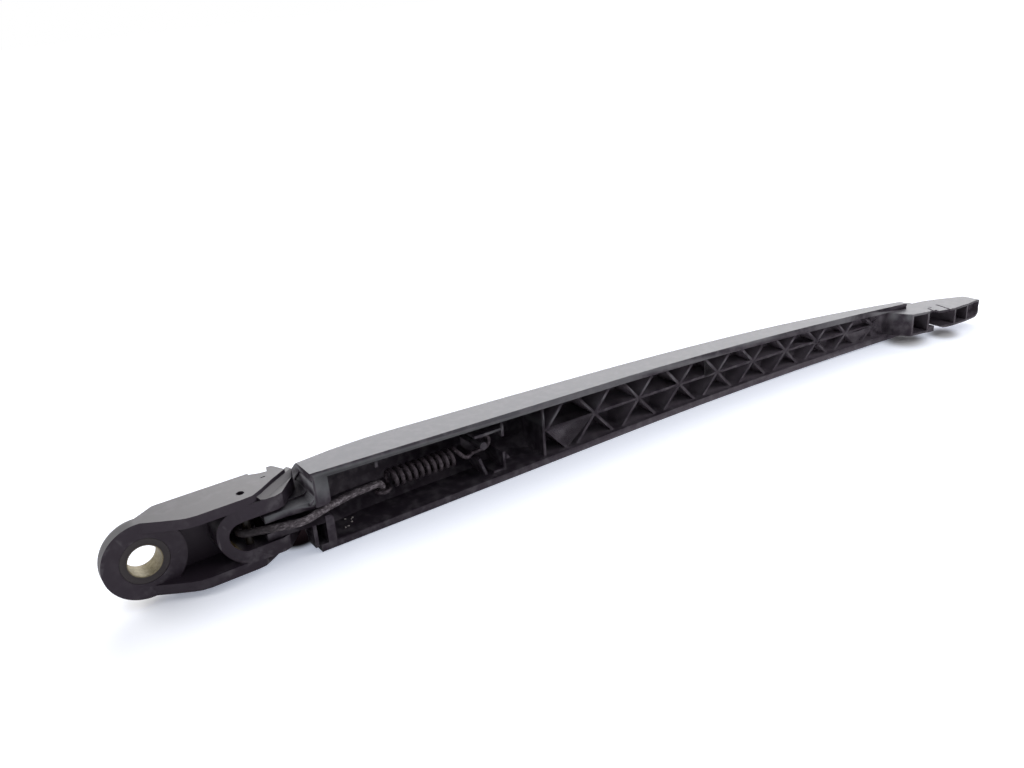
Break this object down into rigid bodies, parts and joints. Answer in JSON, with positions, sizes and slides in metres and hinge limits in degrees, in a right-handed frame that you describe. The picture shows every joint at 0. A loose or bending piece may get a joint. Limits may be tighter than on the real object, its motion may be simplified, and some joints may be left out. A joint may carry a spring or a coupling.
{
  "type": "rear wiper arm",
  "caption": "Hinged plastic wiper arm with a bushed spindle eye, spring and wire link in a ribbed channel, and a snap-in blade tip.",
  "frame": {"origin": "centre of the spindle bore, at the level of the eye's face on the glass side", "axes": "+X along the arm from the spindle to the blade tip, +Y along the spindle away from the glass, +Z along the hinge pin; as pictured the arm lies on the side wall that faces -Z"},
  "size_m": [0.385, 0.0573, 0.029],
  "materials": {
    "arm_plastic": "fine-grained black glass-filled plastic, dusty",
    "head_plastic": "fine-grained black glass-filled plastic, dusty",
    "bush_metal": "yellowed zinc plating",
    "pin_steel": "plain drawn steel",
    "hook_pin_steel": "steel under old yellow-brown grease and rust",
    "link_steel": "worn galvanised wire",
    "spring_steel": "dark oiled spring wire"
  },
  "bodies": {
    "head": {"head": "head_plastic", "spindle_bush": "bush_metal", "hook_pin": "hook_pin_steel"},
    "arm": {"arm": "arm_plastic", "hinge_pin": "pin_steel"},
    "link": {"link": "link_steel", "spring": "spring_steel"}
  },
  "joints": [
    {"name": "arm_lift", "type": "hinge", "parent": "head", "child": "arm", "pos_m": [0.0415, 0.0025, 0], "axis": [0, 0, 1], "range_deg": [0, 50]},
    {"name": "link_swing", "type": "hinge", "parent": "head", "child": "link", "pos_m": [0.0312, -0.0029, 0], "axis": [0, 0, 1], "range_deg": [0, 44]}
  ],
  "couplings": [
    {"joint": "link_swing", "follows": "arm_lift", "ratio": 0.872}
  ]
}
